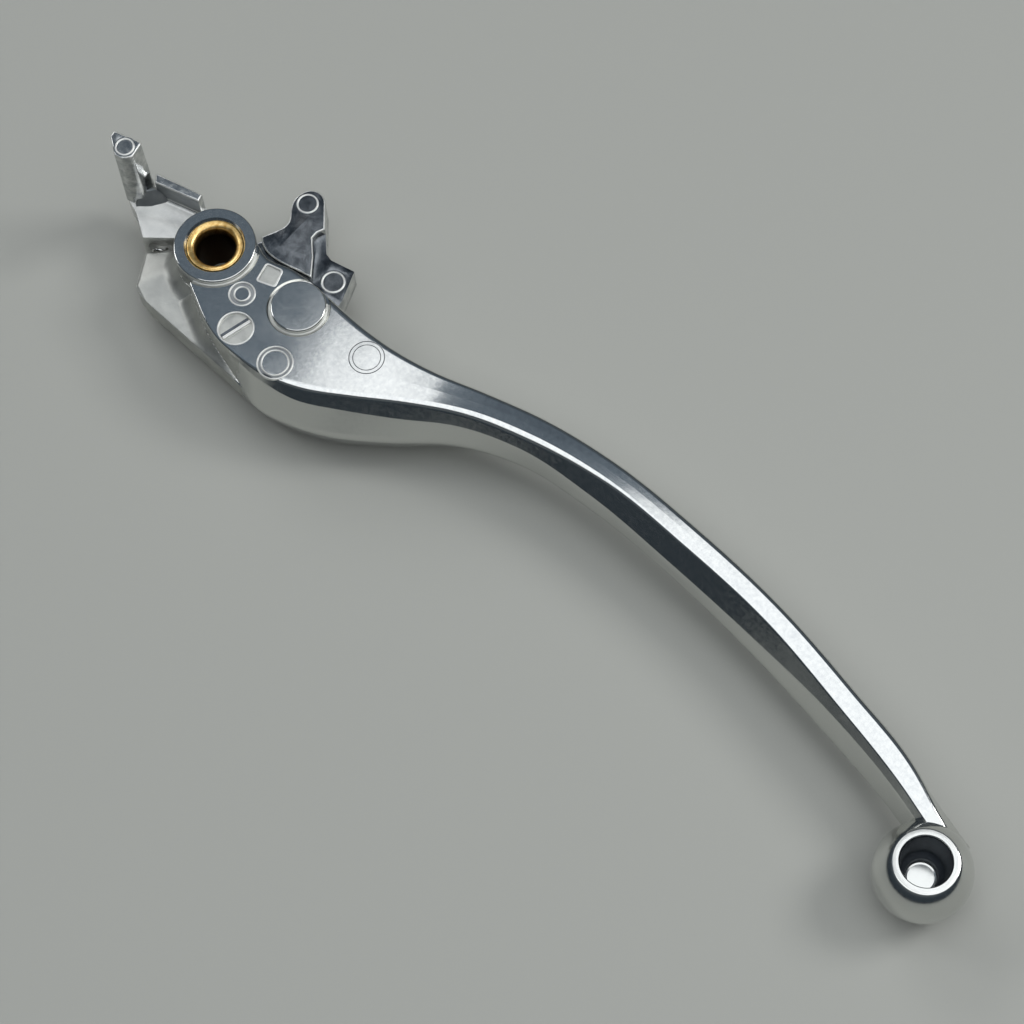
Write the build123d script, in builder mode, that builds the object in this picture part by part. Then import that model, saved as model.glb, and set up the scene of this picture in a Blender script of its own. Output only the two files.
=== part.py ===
from build123d import *
import os
from math import cos, radians, sin, sqrt, tan

# Adjustable clutch lever: a forked die-cast lever, the knuckle that works the clutch cylinder,
# the bronze bush on which both turn, and the reach adjuster with its numbered dial.
#
# Millimetres. The origin is on the pivot axis, in the machined hub face. +X runs from the pivot
# to the centre of the ball, +Y points forwards, away from the grip, and +Z leaves the hub face.

os.makedirs("parts", exist_ok=True)

# ---------------------------------------------------------------- driving dimensions
# Pivot
bolt_d = 8.0  # shoulder of the pivot bolt
bush_wall = 1.0
bush_gap = 0.03  # radial running clearance round the bush
bush_sink = 0.8  # the bush ends below both hub faces
bush_chamfer = 0.5
sink_r = 5.6  # counterbore in the upper hub face

# Heights, from the hub face downwards
hub_lift = 0.9  # hub face above the ground face of the head
upper_ear = 4.4
slot_h = 7.0
lower_ear = 4.2
washer_t = 0.5
side_play = 0.1  # each side of the knuckle and its washers
trim = 0.5  # stock that the ground faces take off

# Head of the lever, in plan
hub_r = 8.1
front_edge = 7.4  # front edge of the head, from the pivot axis
rear_edge = 13.6  # rear edge of the ground face, from the pivot axis
neck_turn = 48.7  # where the front edge leaves the hub, degrees
neck_x = 9.5  # where both edges of the head start to run out
knuckle_gap = 0.3  # slot round the knuckle's hub
moat_w = 1.0  # shallow groove at the foot of the hub and of the adjuster's boss
moat_depth = 0.35
mark_w = 0.35  # ejector rings cast into the upper faces
mark_depth = 0.2
date_r = 3.6  # round date insert with a raised bar across it
date_bar = 0.9
date_turn = 78.5  # direction of the bar, degrees
edge_round = 0.35  # broken edges

# Heel, the block behind the hub that takes the knuckle spring
heel_rear = 14.9
heel_drop = 8.0  # top of the heel below the hub face
heel_left = 6.4  # where the top of the heel starts to fall away
heel_fall = 16.5  # slope of the falling part, degrees
fall_depth = 5.5  # deeper than the falling part reaches
spring_line = 48.5  # direction of the knuckle spring below the +X axis, degrees
spring_side = 12.7  # the spring's axis, beside the pivot axis
heel_end = 3.6  # end face of the heel before the pivot axis, along the spring
heel_corner = 4.9  # rear corner of the heel behind the pivot axis, along the spring
heel_fillet = 0.9  # between the heel and the wall of the head

# Blade and ball
reach = 180.8  # pivot axis to the centre of the ball
blade_x = 34.0  # where the head has become the blade
ball_r = 9.2
ball_drop = 7.0  # centre of the ball below the hub face
cup_r = 4.9  # blind hole in the ball
cup_taper = 0.6
cup_depth = 4.6
well_r = 3.0
well_depth = 4.2
front_bulge = 0.8
section_rounds = [0.3, 0.9, 3.0, 1.6, 1.6, 1.5, 0.5]  # from the ridge round the front to the crease

# Reach adjuster
dial_x = 21.4
dial_y = 1.7
boss_r = 5.4  # disc over the adjuster's blind bore
cam_low = 4.4  # cam radius at the first position
cam_rise = 2.0
cam_sweep = 300.0  # degrees from the first position to the last
cam_gap = 0.15  # knuckle lug to cam at rest
tail_r = 3.0  # journal in the upper ear
tail_l = 2.8
journal_gap = 0.05
drive_w = 5.0  # square that carries the dial
dial_r = 9.5
dial_t = 4.6
dial_gap = 0.6  # dial to the floor of its recess and to the wall round it
dial_washer_t = 0.4
dial_washer_r = 8.0
dial_floor = 2.0  # what the recess leaves of the lower ear
flute_count = 24
flute_r = 0.9
flute_out = 0.3  # centres of the flutes outside the rim
screw_r = 1.5
screw_head_r = 2.9
screw_depth = 5.0  # thread in the cam
hex_w = 2.0  # socket of the dial's screw, across flats
clip_t = 0.5
clip_r = 7.2
groove_r = 5.4
clip_mouth = 9.3
cam_room = 1.2  # slot round the cam, for the clip

# Knuckle
knuckle_r = 6.6
arm_rise = 2.0  # the web and the lobe stand this far above the top of the knuckle
lobe_x = 5.4
lobe_y = 20.3
lobe_r = 2.95
plate_drop = 7.5  # top of the left plate below the hub face
plate_foot = 14.0  # underside of the left plate below the hub face
rib_drop = 2.0  # top of the rib below the hub face
finger_rise = 10.0  # tip of the switch finger above the hub face
plate_end = 5.3  # end face of the plate before the pivot axis, along the spring
ear_gap = 0.6  # left arm round the hub
rib_fillet = 0.9  # along the foot of the rib
shoulder_rise = 3.0  # shoulder between the rib and the finger, above the plate
shoulder_taper = 30.0

# Knuckle spring
spring_r = 1.6
spring_wire = 0.6
spring_pitch = 1.5
spring_hole_gap = 0.15
heel_hole = 5.0
plate_hole = 1.5
plate_hole_r = 2.4

# ---------------------------------------------------------------- derived sizes
face_z = -hub_lift
slot_top = face_z - upper_ear
slot_bottom = slot_top - slot_h
back_z = slot_bottom - lower_ear
bush_r = bolt_d / 2 + bush_wall
bush_bore_r = bush_r + bush_gap
knuckle_top = slot_top - washer_t - 2 * side_play
knuckle_bottom = slot_bottom + washer_t + 2 * side_play
journal_r = cam_low + cam_rise
recess_z = slot_bottom - dial_floor
recess_r = dial_r + dial_gap
lug_y = dial_y + cam_low + cam_gap
spring_z = -(plate_drop + plate_foot) / 2 - 0.8

# The spring's own frame: u along its axis towards the heel, v square to it
u_dir = Vector(cos(radians(spring_line)), -sin(radians(spring_line)), 0)
v_dir = Vector(sin(radians(spring_line)), cos(radians(spring_line)), 0)


def on_spring(u, v):
    """Return the plan point at u along and v across the knuckle spring's direction."""
    point = u_dir * u + v_dir * v
    return (point.X, point.Y)


def disc(radius, bottom, top, at=(0, 0), mode=Mode.ADD):
    """Add a plain disc between two heights to the part in hand."""
    with BuildSketch(Plane.XY.offset(bottom)) as plan:
        with Locations(at):
            Circle(radius)
    extrude(plan.sketch, amount=top - bottom, mode=mode)


# ---------------------------------------------------------------- lever body: the blade
# Each station: its share of the way from the head to the ball, front edge, ridge, crease, belly,
# top, crease height, underside. Front edge, ridge, crease and belly are y values, the last
# three are heights.
crease_z = -5.6
belly_z = -9.5
stations = [
    (-0.123, front_edge - 0.9, -13.3, -13.5, -13.8, face_z + trim, -3.0, back_z - trim),
    (-0.055, front_edge - 0.1, -12.9, -15.0, -16.6, face_z + trim, -3.2, back_z - trim),
    (0, 7.3, -9.7, -11.9, -15.6, face_z + trim, -4.2, -16.6),
    (0.055, 8.1, -4.5, -7.4, -12.0, face_z + trim, -5.0, -15.8),
    (0.109, 9.9, 1.2, -1.4, -5.2, -0.6, -5.5, -15.0),
    (0.177, 13.4, 7.3, 4.7, 3.2, -1.0, crease_z, -14.1),
    (0.259, 17.1, 11.8, 9.6, 8.9, -1.3, crease_z, -13.3),
    (0.368, 19.7, 15.3, 12.0, 11.4, -1.5, crease_z, -12.9),
    (0.504, 20.1, 15.9, 12.5, 11.9, -1.5, crease_z, -12.8),
    (0.654, 18.5, 15.0, 11.8, 10.6, -1.5, crease_z, -12.8),
    (0.790, 14.9, 11.8, 9.6, 8.2, -1.6, crease_z, -12.6),
    (0.913, 11.4, 7.9, 6.6, 5.4, -1.9, crease_z, -12.2),
    (0.967, 9.4, 5.8, 5.0, 3.6, -2.4, crease_z, -11.6),
    (1.014, 8.4, 5.2, 4.4, 3.4, -3.2, crease_z, -10.8),
]


def blade_section(share, front, ridge, crease, belly, top, crease_height, under):
    """Return a section of the blade: upper face, front flank, underside, belly and rear flank."""
    corners = [
        (ridge, top),
        (front, top),
        (front + front_bulge, (top + under) / 2),
        (front - 1.0, under),
        (belly + 2.0, under),
        (belly, belly_z),
        (crease, crease_height),
    ]
    with BuildSketch(Plane.YZ.offset(blade_x + share * (reach - blade_x))) as section:
        with BuildLine():
            FilletPolyline(*corners, radius=section_rounds, close=True)
        make_face()
    return section.sketch


blade_sections = [blade_section(*station) for station in stations]

# ---------------------------------------------------------------- lever body: the heel
with BuildPart() as heel:
    with BuildSketch(Plane.XY.offset(back_z)):
        with BuildLine():
            Polyline(
                on_spring(-heel_end, -spring_side - 2.6),
                on_spring(heel_corner, -spring_side - 3.3),
                (-5.2, -heel_rear),
                (19, -heel_rear),
                (12, -4),
                (-4, -4),
                on_spring(-heel_end, -spring_side + 2.6),
                close=True,
            )
        make_face()
    extrude(amount=-heel_drop - back_z)
    with BuildSketch(Plane.XZ):
        with BuildLine():
            Polyline(
                (dial_x, -heel_drop),
                (-heel_left, -heel_drop),
                (-heel_left - fall_depth / tan(radians(heel_fall)), -heel_drop - fall_depth),
                (-heel_left - fall_depth / tan(radians(heel_fall)), back_z),
                (dial_x, back_z),
                close=True,
            )
        make_face()
    extrude(amount=2 * heel_rear, both=True, mode=Mode.INTERSECT)

# ---------------------------------------------------------------- lever body: the head
neck = (hub_r * cos(radians(neck_turn)), hub_r * sin(radians(neck_turn)))
with BuildPart() as head:
    with BuildSketch(Plane.XY.offset(back_z - trim)):
        with BuildLine():
            Spline(neck, (neck_x, front_edge - 2.1), (dial_x - 7.4, front_edge - 0.6),
                   (dial_x - 1.4, front_edge), (dial_x + boss_r, front_edge - 0.9))
            Line((dial_x + boss_r, front_edge - 0.9), (dial_x + boss_r, -rear_edge + 2.6))
            Spline((dial_x + boss_r, -rear_edge + 2.6), (dial_x, -rear_edge + 0.3),
                   (dial_x - 6.4, -rear_edge), (neck_x, -rear_edge + 1.2))
            Line((neck_x, -rear_edge + 1.2), (0, -hub_r))
            Line((0, -hub_r), neck)
        make_face()
        Circle(hub_r)
    extrude(amount=face_z - back_z + 2 * trim)
    add(heel.part)
    heel_edges = head.edges().filter_by_position(Axis.Z, -heel_drop - 0.01, -heel_drop + 0.01)
    wall_foot = heel_edges.filter_by(
        lambda edge: edge.length > 5 and edge.center().X > -heel_left and edge.center().Y > -heel_rear)
    fillet(wall_foot, heel_fillet)

# ---------------------------------------------------------------- lever body
# Rings that ejector pins leave in the ground face: radius, width, centre
marks = [
    (2.5, 0.9, (11.2, -3.6)),
    (3.6, 0.8, (26.4, -9.7)),
    (3.5, mark_w, (38.5, 3.1)),
]


def ring(outer, inner, depth, at, height=face_z):
    """Cut a flat-bottomed ring into an upper face."""
    with BuildSketch(Plane.XY.offset(height)) as plan:
        with Locations(at):
            Circle(outer)
            Circle(inner, mode=Mode.SUBTRACT)
    extrude(plan.sketch, amount=-depth, mode=Mode.SUBTRACT)


def round_edges(piece, height, radius):
    """Return the circular edges of a piece that lie at one height with one radius."""
    circles = piece.edges().filter_by(GeomType.CIRCLE).filter_by_position(
        Axis.Z, height - 0.01, height + 0.01)
    return circles.filter_by(lambda edge: abs(edge.radius - radius) < 0.01)


with BuildPart() as lever_body:
    loft(sections=blade_sections)
    add(head.part)
    split(bisect_by=Plane.XY.offset(face_z), keep=Keep.BOTTOM)
    split(bisect_by=Plane.XY.offset(back_z), keep=Keep.TOP)

    disc(hub_r, face_z, 0)
    disc(boss_r, face_z, 0, (dial_x, dial_y))
    for radius, centre in ((hub_r, (0, 0)), (boss_r, (dial_x, dial_y))):
        ring(radius + moat_w, radius, moat_depth, centre)
    for radius, width, centre in marks:
        ring(radius, radius - width, mark_depth, centre)
    chamfer(round_edges(lever_body, 0, hub_r) + round_edges(lever_body, 0, boss_r), edge_round)
    with Locations((reach, 0, -ball_drop)):
        Sphere(ball_r)
    split(bisect_by=Plane.XY, keep=Keep.BOTTOM)

    # Blind hole of the ball: a tapered cup over a narrower well
    with BuildSketch(Plane.XZ):
        with BuildLine():
            Polyline(
                (reach, 0),
                (reach + cup_r, 0),
                (reach + cup_r - cup_taper, -cup_depth),
                (reach + well_r, -cup_depth - 0.5),
                (reach + well_r, -cup_depth - well_depth),
                (reach, -cup_depth - well_depth),
                close=True,
            )
        make_face()
    revolve(axis=Axis((reach, 0, 0), (0, 0, 1)), mode=Mode.SUBTRACT)

    # Fork: the slot for the knuckle and the cam
    with BuildSketch(Plane.XY.offset(slot_bottom)):
        with BuildLine():
            CenterArc((knuckle_r, 0), knuckle_r - knuckle_gap, 0, 360)
            CenterArc((dial_x, dial_y), journal_r + cam_room, 0, 360)
        make_hull()
        Circle(knuckle_r + knuckle_gap)
        Rectangle(dial_x + journal_r + cam_room, 2 * hub_r, align=(Align.MIN, Align.MIN))
        with Locations(Location((*on_spring(-heel_end, 0), 0), -spring_line)):
            Rectangle(2 * hub_r, 4 * hub_r, align=(Align.MAX, Align.CENTER))
    extrude(amount=slot_h, mode=Mode.SUBTRACT)

    # Bores of the pivot and of the adjuster
    disc(bush_bore_r, back_z, 0, mode=Mode.SUBTRACT)
    disc(sink_r, -bush_sink, 0, mode=Mode.SUBTRACT)
    disc(tail_r + journal_gap, slot_top, slot_top + tail_l + side_play, (dial_x, dial_y), Mode.SUBTRACT)
    disc(journal_r + journal_gap, recess_z, slot_bottom, (dial_x, dial_y), Mode.SUBTRACT)
    disc(recess_r, back_z - trim, recess_z, (dial_x, dial_y), Mode.SUBTRACT)

    # Blind hole of the knuckle spring, in the end of the heel
    spring_seat = Plane(
        origin=(*on_spring(-heel_end + heel_hole, -spring_side), spring_z), z_dir=u_dir * -1
    )
    with BuildSketch(spring_seat):
        Circle(spring_r + spring_hole_gap)
    extrude(amount=heel_hole + 2, mode=Mode.SUBTRACT)

    # Date insert and bare square frame, cast into the ground face
    with BuildSketch(Plane.XY.offset(face_z)) as insets:
        with Locations((15.6, -9.7)):
            Circle(date_r)
            Rectangle(1.6 * date_r, date_bar, rotation=date_turn, mode=Mode.SUBTRACT)
        with BuildLine():
            FilletPolyline((10.2, 4.2), (13.3, 5.1), (14.5, 1.9), (11.2, 0.6), radius=0.5, close=True)
        make_face()
    extrude(insets.sketch, amount=-mark_depth, mode=Mode.SUBTRACT)
lever_body.part.label = "lever_body"

# ---------------------------------------------------------------- pivot bush and washers
with BuildPart() as pivot_bush:
    disc(bush_r, back_z + bush_sink, -bush_sink)
    disc(bolt_d / 2, back_z + bush_sink, -bush_sink, mode=Mode.SUBTRACT)
    for bush_end in (back_z + bush_sink, -bush_sink):
        chamfer(round_edges(pivot_bush, bush_end, bolt_d / 2), bush_chamfer)
pivot_bush.part.label = "pivot_bush"

with BuildPart() as thrust_washers:
    for washer_z in (slot_top - side_play - washer_t, slot_bottom + side_play):
        disc(knuckle_r, washer_z, washer_z + washer_t)
        disc(bush_bore_r + 0.1, washer_z, washer_z + washer_t, mode=Mode.SUBTRACT)
thrust_washers.part.label = "thrust_washers"

# ---------------------------------------------------------------- knuckle
finger_top = [(-27.6, 1.3), (-27.3, -0.1), (-23.6, -2.4), (-22.1, -2.0), (-20.7, -0.4), (-21.7, 3.1)]
with BuildPart() as knuckle:
    disc(knuckle_r, knuckle_bottom, knuckle_top)

    # Left plate, from the hub to the foot of the switch finger
    with BuildSketch(Plane.XY.offset(-plate_foot)):
        with BuildLine():
            Polyline(
                (-3, 7.2),
                (-10.8, 6.6),
                (-19.3, 4.2),
                finger_top[-1],
                finger_top[0],
                finger_top[1],
                finger_top[2],
                (-21.0, -3.2),
                on_spring(-plate_end, -15.8),
                on_spring(-plate_end, -6.0),
                close=True,
            )
        make_face()
        Circle(hub_r + ear_gap, mode=Mode.SUBTRACT)
    extrude(amount=plate_foot - plate_drop)
    with BuildSketch(Plane.XY.offset(knuckle_bottom)):
        with BuildLine():
            Polyline((-3, 7.2), (-10.8, 6.6), on_spring(-plate_end, -9.8), on_spring(-plate_end, -4),
                     (0, 0), close=True)
        make_face()
    extrude(amount=-plate_drop - knuckle_bottom)

    # Rib along the front of the plate, on a filleted foot
    with BuildSketch(Plane.XY.offset(-plate_drop)):
        with BuildLine():
            Polyline((-21.0, 3.8), (-10.8, 6.6), (-10.2, 5.1), (-19.6, 2.2), close=True)
        make_face()
    extrude(amount=plate_drop - rib_drop)
    plate_edges = knuckle.edges().filter_by_position(Axis.Z, -plate_drop - 0.01, -plate_drop + 0.01)
    fillet(plate_edges.sort_by_distance((-14.9, 3.7, -plate_drop))[0], rib_fillet)
    fillet(plate_edges.sort_by_distance((-18.2, -4.8, -plate_drop))[0], edge_round)

    # Switch finger, and the shoulder between it and the rib
    with BuildSketch(Plane.XY.offset(finger_rise)):
        with BuildLine():
            FilletPolyline(*finger_top, radius=[0.3, 0.3, 0.5, 0.8, 0.8, 0.5], close=True)
        make_face()
    extrude(amount=-finger_rise - plate_drop, taper=-0.8)
    with BuildSketch(Plane.XY.offset(-plate_drop)):
        with BuildLine():
            Polyline((-23.0, -1.4), (-21.2, -2.5), (-19.0, -0.4), (-17.2, 2.6), (-18.0, 4.1),
                     (-22.0, 3.0), close=True)
        make_face()
    extrude(amount=shoulder_rise, taper=shoulder_taper)

    # Front arm at the height of the slot: the web, and the lug that rides on the cam
    with BuildSketch(Plane.XY.offset(knuckle_bottom)):
        with BuildLine():
            Polyline((0, 0), (3.6, 8.6), (5.4, 14.2), (10, 19.6), (14.9, 15.1), (16.5, 14.8), (21.6, 16.1),
                     (24.4, 9.8), (25, lug_y), (14, lug_y), (7, 3), close=True)
        make_face()
    extrude(amount=knuckle_top - knuckle_bottom)

    # Raised part of the arm, clear of the hub and of the head: the web and the lobe
    with BuildSketch(Plane.XY.offset(knuckle_bottom)):
        with BuildLine():
            arm_side = Spline((3.6, 8.6), (4.7, 11.4), (5.2, 14.2), (3.4, 16.9), (lobe_x - lobe_r, lobe_y))
            arm_tip = CenterArc((lobe_x, lobe_y), lobe_r, 180, -134)
            Polyline(arm_tip @ 1, (11.6, 18.2), (11.0, 16.6), (11.1, 15.2), (14.2, 12.4), (17.2, 8.9))
            Spline((17.2, 8.9), (13.7, 8.1), (10.6, 7.3), (7.0, 7.0), (3.6, 8.6))
        make_face()
    extrude(amount=knuckle_top + arm_rise - knuckle_bottom)

    disc(bush_bore_r + bush_gap, knuckle_bottom, knuckle_top, mode=Mode.SUBTRACT)

    # Blind hole of the knuckle spring
    knuckle_seat = Plane(
        origin=(*on_spring(-plate_end - plate_hole, -spring_side), spring_z), z_dir=u_dir
    )
    with BuildSketch(knuckle_seat):
        Circle(plate_hole_r)
    extrude(amount=plate_hole + 1, mode=Mode.SUBTRACT)
    for level in (finger_rise, -rib_drop, knuckle_top + arm_rise):
        rim = knuckle.edges().filter_by_position(Axis.Z, level - 0.01, level + 0.01)
        fillet(rim, edge_round)

    # Rings that ejector pins leave on the finger, the lobe and the lug
    ring(1.75, 1.75 - mark_w, mark_depth, (-23.4, 0.2), finger_rise)
    ring(2.0, 2.0 - mark_w, mark_depth, (5.1, 19.9), knuckle_top + arm_rise)
    ring(2.2, 2.2 - mark_w, mark_depth, (20.2, 11.7), knuckle_top)
knuckle.part.label = "knuckle"

# ---------------------------------------------------------------- knuckle spring
spring_len = heel_hole + plate_end - heel_end + spring_hole_gap
coil_foot = (*on_spring(-heel_end + heel_hole - spring_wire, -spring_side), spring_z)
with BuildPart() as knuckle_spring:
    with BuildLine():
        coil = Helix(
            pitch=spring_pitch,
            height=spring_len - 1.5 * spring_wire,
            radius=spring_r - spring_wire / 2,
            center=coil_foot,
            direction=u_dir * -1,
        )
    with BuildSketch(Plane(origin=coil @ 0, z_dir=coil % 0)):
        RegularPolygon(spring_wire / 2, 6)
    sweep(path=coil, is_frenet=True)
knuckle_spring.part.label = "knuckle_spring"

# ---------------------------------------------------------------- reach adjuster
cam_steps = 12


def cam_point(turn):
    """Return the point of the snail cam that meets the lug after the dial has turned so far."""
    radius = cam_low + cam_rise * turn / cam_sweep
    angle = radians(90 - turn)
    return (dial_x + radius * cos(angle), dial_y + radius * sin(angle))


cam_points = [cam_point(cam_sweep * step / cam_steps) for step in range(cam_steps + 1)]
cam_foot = slot_bottom + clip_t + side_play
dial_axis = (dial_x, dial_y)
with BuildPart() as adjuster_cam:
    with BuildSketch(Plane.XY.offset(cam_foot)):
        with BuildLine():
            Spline(*cam_points)
            Line(cam_points[-1], cam_points[0])
        make_face()
    extrude(amount=slot_top - side_play - cam_foot)
    disc(tail_r, slot_top - side_play, slot_top + tail_l, dial_axis)
    disc(groove_r, slot_bottom, cam_foot, dial_axis)
    disc(journal_r, recess_z, slot_bottom, dial_axis)
    with BuildSketch(Plane.XY.offset(recess_z)):
        with Locations(dial_axis):
            Rectangle(drive_w, drive_w)
    extrude(amount=-(dial_gap + dial_t - dial_floor - side_play))
    disc(screw_r, back_z - dial_t, recess_z + screw_depth, dial_axis, Mode.SUBTRACT)
adjuster_cam.part.label = "adjuster_cam"

dial_top = recess_z - dial_gap
dial_face = dial_top - dial_t
with BuildPart() as adjuster_dial:
    disc(dial_r, dial_face, dial_top, dial_axis)
    with BuildSketch(Plane.XY.offset(dial_face)):
        with Locations(dial_axis):
            with PolarLocations(dial_r + flute_out, flute_count):
                Circle(flute_r)
    extrude(amount=dial_t, mode=Mode.SUBTRACT)
    with BuildSketch(Plane.XY.offset(dial_top)):
        with Locations(dial_axis):
            Rectangle(drive_w + 2 * journal_gap, drive_w + 2 * journal_gap)
    extrude(amount=-(dial_t - dial_floor), mode=Mode.SUBTRACT)
    disc(screw_r + journal_gap, dial_face, dial_top, dial_axis, Mode.SUBTRACT)
    with BuildSketch(Plane.XY.offset(dial_face)):
        with Locations(dial_axis):
            Circle(screw_head_r + journal_gap)
    extrude(amount=screw_head_r - screw_r, taper=45, mode=Mode.SUBTRACT)
adjuster_dial.part.label = "adjuster_dial"

with BuildPart() as dial_washer:
    with BuildSketch(Plane.XY.offset(dial_top + side_play)):
        with Locations(dial_axis):
            Circle(dial_washer_r)
            Circle(drive_w / sqrt(2) + side_play, mode=Mode.SUBTRACT)
    extrude(amount=dial_washer_t)
dial_washer.part.label = "dial_washer"

with BuildPart() as dial_screw:
    with BuildSketch(Plane.XY.offset(dial_face)):
        with Locations(dial_axis):
            Circle(screw_head_r)
    extrude(amount=screw_head_r - screw_r, taper=45)
    disc(screw_r - 0.02, dial_face, recess_z + screw_depth - side_play, dial_axis)
    with BuildSketch(Plane.XY.offset(dial_face)):
        with Locations(dial_axis):
            RegularPolygon(hex_w / 2, 6, major_radius=False)
    extrude(amount=1.2, mode=Mode.SUBTRACT)
dial_screw.part.label = "dial_screw"

clip_z = slot_bottom + side_play / 2
with BuildPart() as adjuster_clip:
    with BuildSketch(Plane.XY.offset(clip_z)):
        with Locations(dial_axis):
            Circle(clip_r)
            Circle(groove_r + journal_gap, mode=Mode.SUBTRACT)
            with Locations((0, clip_r)):
                Rectangle(clip_mouth, 2 * clip_r - 2, mode=Mode.SUBTRACT)
    extrude(amount=clip_t)
adjuster_clip.part.label = "adjuster_clip"

# ---------------------------------------------------------------- export
for piece in (lever_body, knuckle, pivot_bush, thrust_washers, knuckle_spring, adjuster_cam,
              adjuster_clip, adjuster_dial, dial_washer, dial_screw):
    export_step(piece.part, f"parts/{piece.part.label}.step")
    print(piece.part.label, len(piece.part.solids()), round(piece.part.volume, 1))
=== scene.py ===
"""Looks of the adjustable clutch lever: polished casting, knuckle, bronze bush and reach dial."""

from math import atan2, cos, pi, radians, sin, tan

import bpy
import numpy as np
from mathutils import Matrix, Vector


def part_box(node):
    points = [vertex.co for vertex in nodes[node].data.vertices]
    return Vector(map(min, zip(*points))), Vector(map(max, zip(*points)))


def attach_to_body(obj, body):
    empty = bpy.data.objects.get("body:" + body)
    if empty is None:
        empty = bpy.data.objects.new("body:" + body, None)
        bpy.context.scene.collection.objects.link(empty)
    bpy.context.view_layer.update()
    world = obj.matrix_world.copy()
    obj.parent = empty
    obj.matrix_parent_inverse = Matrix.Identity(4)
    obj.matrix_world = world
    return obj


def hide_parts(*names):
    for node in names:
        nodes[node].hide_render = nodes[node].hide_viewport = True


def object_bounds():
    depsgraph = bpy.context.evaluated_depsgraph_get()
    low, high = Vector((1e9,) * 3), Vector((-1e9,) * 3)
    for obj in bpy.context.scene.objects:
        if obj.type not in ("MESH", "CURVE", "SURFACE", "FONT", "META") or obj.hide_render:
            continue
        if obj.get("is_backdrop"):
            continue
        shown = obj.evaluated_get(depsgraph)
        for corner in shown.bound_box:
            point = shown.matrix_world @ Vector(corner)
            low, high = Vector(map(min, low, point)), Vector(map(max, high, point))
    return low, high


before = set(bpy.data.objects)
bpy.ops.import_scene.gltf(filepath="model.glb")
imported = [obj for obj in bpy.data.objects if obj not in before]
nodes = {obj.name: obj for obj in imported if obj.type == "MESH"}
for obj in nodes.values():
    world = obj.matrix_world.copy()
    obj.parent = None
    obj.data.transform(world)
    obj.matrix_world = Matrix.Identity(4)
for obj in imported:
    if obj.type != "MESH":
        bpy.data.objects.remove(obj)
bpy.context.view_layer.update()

MM = 0.001

# ---------------------------------------------------------------- places taken from the solids
dial_low, dial_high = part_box("adjuster_dial")
dial_centre = (dial_low + dial_high) / 2 / MM
bush_low, bush_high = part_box("pivot_bush")
body_low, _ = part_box("lever_body")
reach = 180.8
ball_r = 9.2
ball_drop = 7.0
face_z = -0.9
back_z = body_low.z / MM
hub_r = 8.1
boss_r = 5.4
heel_z = -8.0
slot_top = -5.3
slot_bottom = -12.3


# ---------------------------------------------------------------- working by hand
def lay_down():
    """Leave edit mode and deselect everything."""
    if bpy.context.object and bpy.context.object.mode != "OBJECT":
        bpy.ops.object.mode_set(mode="OBJECT")
    bpy.ops.object.select_all(action="DESELECT")


def pick_up(piece):
    """Make one piece the active and only selected object."""
    lay_down()
    piece.select_set(True)
    bpy.context.view_layer.objects.active = piece
    return piece


def settle(piece):
    """Put the piece's place, turn and size into its mesh."""
    pick_up(piece)
    bpy.ops.object.transform_apply(location=True, rotation=True, scale=True)
    return piece


def choose(piece, kind, test):
    """Enter edit mode with the faces, edges or vertices selected whose middle passes the test."""
    pick_up(piece)
    bpy.ops.object.mode_set(mode="EDIT")
    bpy.ops.mesh.select_mode(type=kind)
    bpy.ops.mesh.select_all(action="DESELECT")
    bpy.ops.object.mode_set(mode="OBJECT")
    mesh = piece.data
    if kind == "FACE":
        for face in mesh.polygons:
            face.select = test(face.center / MM, face.normal)
    elif kind == "EDGE":
        for edge in mesh.edges:
            ends = [mesh.vertices[i].co / MM for i in edge.vertices]
            edge.select = test(*ends)
    else:
        for vertex in mesh.vertices:
            vertex.select = test(vertex.co / MM)
    bpy.ops.object.mode_set(mode="EDIT")


def round_disc(radius, low, high, at=(0, 0), around=96):
    """Add a plain upright disc, in millimetres, as a start for a piece or a cut."""
    lay_down()
    bpy.ops.mesh.primitive_cylinder_add(
        vertices=around, radius=radius * MM, depth=(high - low) * MM,
        location=(at[0] * MM, at[1] * MM, (low + high) / 2 * MM))
    return settle(bpy.context.object)


def turned(profile, at=(0, 0), around=96):
    """Spin a closed profile of (radius, height) points round an upright axis into a solid."""
    lay_down()
    bpy.ops.mesh.primitive_circle_add(vertices=len(profile), radius=MM)
    piece = bpy.context.object
    for vertex, (radius, height) in zip(piece.data.vertices, profile):
        vertex.co = (radius * MM, 0, height * MM)
    pick_up(piece)
    bpy.ops.object.mode_set(mode="EDIT")
    bpy.ops.mesh.select_all(action="SELECT")
    bpy.ops.mesh.spin(steps=around, angle=2 * pi, center=(0, 0, 0), axis=(0, 0, 1))
    bpy.ops.mesh.select_all(action="SELECT")
    bpy.ops.mesh.remove_doubles(threshold=0.0001 * MM)
    bpy.ops.mesh.delete_loose()
    bpy.ops.mesh.select_all(action="SELECT")
    bpy.ops.mesh.normals_make_consistent(inside=False)
    lay_down()
    piece.location = (at[0] * MM, at[1] * MM, 0)
    return settle(piece)


def groove(outer, inner, depth, height, slope=0.12):
    """Return the profile of a ring-shaped cut with sloping walls below an upper face."""
    return [(outer - slope, height - depth), (outer + slope, height + depth),
            (inner - slope, height + depth), (inner + slope, height - depth)]


def bead(radius, height, width=0.36, rise=0.13):
    """Return the profile of a low rounded rim on an upper face."""
    arc = [(radius + width / 2 * cos(pi * k / 6), height + rise * sin(pi * k / 6))
           for k in range(7)]
    return arc + [(radius - width / 2, height - 0.5), (radius + width / 2, height - 0.5)]


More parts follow.
